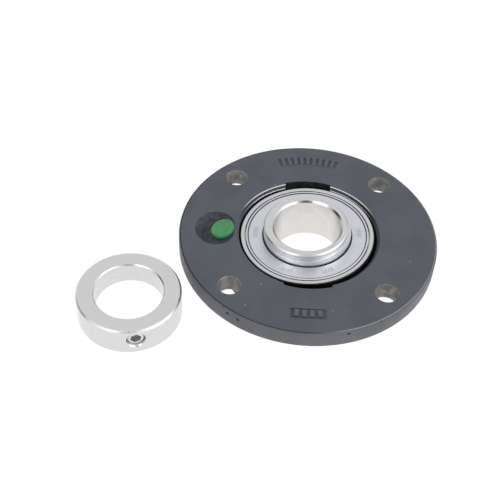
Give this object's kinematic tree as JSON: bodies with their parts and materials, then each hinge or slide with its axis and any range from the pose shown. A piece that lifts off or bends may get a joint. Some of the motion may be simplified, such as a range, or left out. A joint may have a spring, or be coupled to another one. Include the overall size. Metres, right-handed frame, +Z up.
{
  "type": "flange mount bearing",
  "caption": "Round cast-iron flange unit with a self-aligning sealed ball bearing insert, and its loose eccentric locking collar lying beside it.",
  "frame": {"origin": "on the surface that the set lies on, under the middle of the flange unit and the collar together; the flange's axis stands at x 0.0242, y 0.0003", "axes": "+Z up, out of the flange's front face; +X from the loose collar's side towards the unit, along the set's longest extent; +Y away from the collar's set screw"},
  "size_m": [0.1834, 0.1356, 0.0283],
  "materials": {
    "painted_cast_iron": "dark blue-grey enamel over rough cast iron, bare in the bolt holes",
    "ground_ring_steel": "ground bearing steel",
    "polished_ball_steel": "polished bearing steel",
    "zinc_seal_steel": "zinc-plated pressed sheet steel",
    "turned_collar_steel": "fine-turned plated steel",
    "set_screw_steel": "plated screw steel",
    "seal_rubber": "black nitrile rubber",
    "cage_polyamide": "natural polyamide",
    "green_plug_plastic": "green polyethylene"
  },
  "bodies": {
    "housing": {"flange_housing": "painted_cast_iron"},
    "insert": {"outer_ring": "ground_ring_steel", "front_seal_outer_washer": "zinc_seal_steel", "front_seal_lip": "seal_rubber", "front_seal_inner_washer": "zinc_seal_steel", "rear_seal_outer_washer": "zinc_seal_steel", "rear_seal_lip": "seal_rubber", "rear_seal_inner_washer": "zinc_seal_steel"},
    "inner_ring": {"inner_ring": "ground_ring_steel"},
    "cage": {"ball_cage": "cage_polyamide"},
    "ball_1": {"ball_1": "polished_ball_steel"},
    "ball_2": {"ball_2": "polished_ball_steel"},
    "ball_3": {"ball_3": "polished_ball_steel"},
    "ball_4": {"ball_4": "polished_ball_steel"},
    "ball_5": {"ball_5": "polished_ball_steel"},
    "ball_6": {"ball_6": "polished_ball_steel"},
    "ball_7": {"ball_7": "polished_ball_steel"},
    "ball_8": {"ball_8": "polished_ball_steel"},
    "ball_9": {"ball_9": "polished_ball_steel"},
    "plug": {"grease_port_plug": "green_plug_plastic"},
    "collar": {"locking_collar": "turned_collar_steel"},
    "set_screw": {"collar_set_screw": "set_screw_steel"}
  },
  "joints": [
    {"name": "insert_swivel", "type": "hinge", "parent": "housing", "child": "insert", "pos_m": [0.0242, 0.0003, 0.0123], "axis": [0, 1, 0], "range_deg": [-1.8, 8.2]},
    {"name": "inner_ring_spin", "type": "hinge", "parent": "insert", "child": "inner_ring", "pos_m": [0.0242, 0.0003, 0.0123], "axis": [-0.0454, 0, 0.999], "continuous": true},
    {"name": "cage_spin", "type": "hinge", "parent": "insert", "child": "cage", "pos_m": [0.0242, 0.0003, 0.0123], "axis": [-0.0454, 0, 0.999], "continuous": true},
    {"name": "ball_1_spin", "type": "hinge", "parent": "cage", "child": "ball_1", "pos_m": [0.05092, 0.0003, 0.01351], "axis": [-0.0454, 0, 0.999], "continuous": true},
    {"name": "ball_2_spin", "type": "hinge", "parent": "cage", "child": "ball_2", "pos_m": [0.04467, 0.0175, 0.01323], "axis": [-0.0454, 0, 0.999], "continuous": true},
    {"name": "ball_3_spin", "type": "hinge", "parent": "cage", "child": "ball_3", "pos_m": [0.02884, 0.02664, 0.01251], "axis": [-0.0454, 0, 0.999], "continuous": true},
    {"name": "ball_4_spin", "type": "hinge", "parent": "cage", "child": "ball_4", "pos_m": [0.01084, 0.02347, 0.01169], "axis": [-0.0454, 0, 0.999], "continuous": true},
    {"name": "ball_5_spin", "type": "hinge", "parent": "cage", "child": "ball_5", "pos_m": [-0.00091, 0.00945, 0.01116], "axis": [-0.0454, 0, 0.999], "continuous": true},
    {"name": "ball_6_spin", "type": "hinge", "parent": "cage", "child": "ball_6", "pos_m": [-0.00091, -0.00885, 0.01116], "axis": [-0.0454, 0, 0.999], "continuous": true},
    {"name": "ball_7_spin", "type": "hinge", "parent": "cage", "child": "ball_7", "pos_m": [0.01084, -0.02287, 0.01169], "axis": [-0.0454, 0, 0.999], "continuous": true},
    {"name": "ball_8_spin", "type": "hinge", "parent": "cage", "child": "ball_8", "pos_m": [0.02884, -0.02604, 0.01251], "axis": [-0.0454, 0, 0.999], "continuous": true},
    {"name": "ball_9_spin", "type": "hinge", "parent": "cage", "child": "ball_9", "pos_m": [0.04467, -0.0169, 0.01323], "axis": [-0.0454, 0, 0.999], "continuous": true},
    {"name": "plug_pull", "type": "slide", "parent": "housing", "child": "plug", "axis": [-0.342, 0, 0.9397], "range_m": [0, 0.012]},
    {"name": "collar_lift", "type": "slide", "parent": "housing", "child": "collar", "axis": [0, 0, 1], "range_m": [0, 0.05]},
    {"name": "set_screw_travel", "type": "slide", "parent": "collar", "child": "set_screw", "axis": [0.2419, -0.9703, 0], "range_m": [-0.0011, 0.006]}
  ],
  "couplings": [
    {"joint": "cage_spin", "follows": "inner_ring_spin", "ratio": 0.39615},
    {"joint": "ball_1_spin", "follows": "inner_ring_spin", "ratio": -2.3034},
    {"joint": "ball_2_spin", "follows": "inner_ring_spin", "ratio": -2.3034},
    {"joint": "ball_3_spin", "follows": "inner_ring_spin", "ratio": -2.3034},
    {"joint": "ball_4_spin", "follows": "inner_ring_spin", "ratio": -2.3034},
    {"joint": "ball_5_spin", "follows": "inner_ring_spin", "ratio": -2.3034},
    {"joint": "ball_6_spin", "follows": "inner_ring_spin", "ratio": -2.3034},
    {"joint": "ball_7_spin", "follows": "inner_ring_spin", "ratio": -2.3034},
    {"joint": "ball_8_spin", "follows": "inner_ring_spin", "ratio": -2.3034},
    {"joint": "ball_9_spin", "follows": "inner_ring_spin", "ratio": -2.3034}
  ]
}
